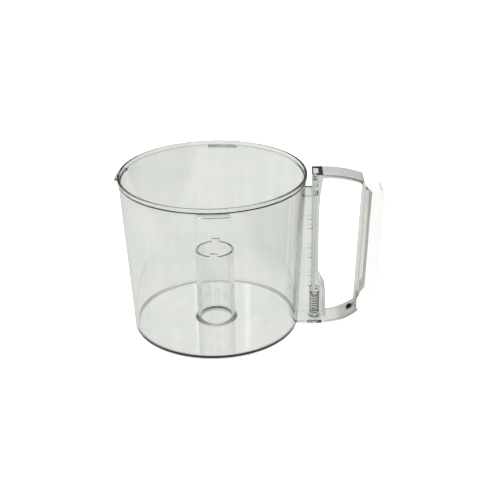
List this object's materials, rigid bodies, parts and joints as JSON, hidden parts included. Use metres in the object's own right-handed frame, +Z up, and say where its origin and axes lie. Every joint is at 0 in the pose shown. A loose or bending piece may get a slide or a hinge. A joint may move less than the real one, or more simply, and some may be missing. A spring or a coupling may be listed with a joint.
{
  "type": "food processor work bowl",
  "caption": "Clear drafted work bowl with a centre tube, a side handle with a white grip cover and a sprung push rod in the handle's post.",
  "frame": {"origin": "on the bowl's axis, at the plane it stands on", "axes": "+Z up along the bowl's axis, +X from the axis through the handle"},
  "size_m": [0.2657, 0.1932, 0.164],
  "materials": {
    "clear_bowl": "clear moulded polycarbonate, polished",
    "clear_handle": "clear moulded polycarbonate, polished",
    "clear_rod": "clear moulded polycarbonate, polished",
    "spring_steel": "drawn spring wire",
    "white_grip": "white moulded ABS, semi-gloss",
    "black_screw": "black oxide steel"
  },
  "bodies": {
    "bowl_body": {"bowl": "clear_bowl", "handle_frame": "clear_handle", "channel_plate": "clear_handle", "spring_seat": "clear_handle", "return_spring": "spring_steel", "grip_cover": "white_grip", "grip_screw": "black_screw"},
    "rod_body": {"push_rod": "clear_rod"}
  },
  "joints": [
    {"name": "push_rod_travel", "type": "slide", "parent": "bowl_body", "child": "rod_body", "axis": [0, 0, -1], "range_m": [0, 0.008], "stiffness_N_per_m": 400, "springref_m": -0.006, "deforming": ["return_spring"]}
  ]
}
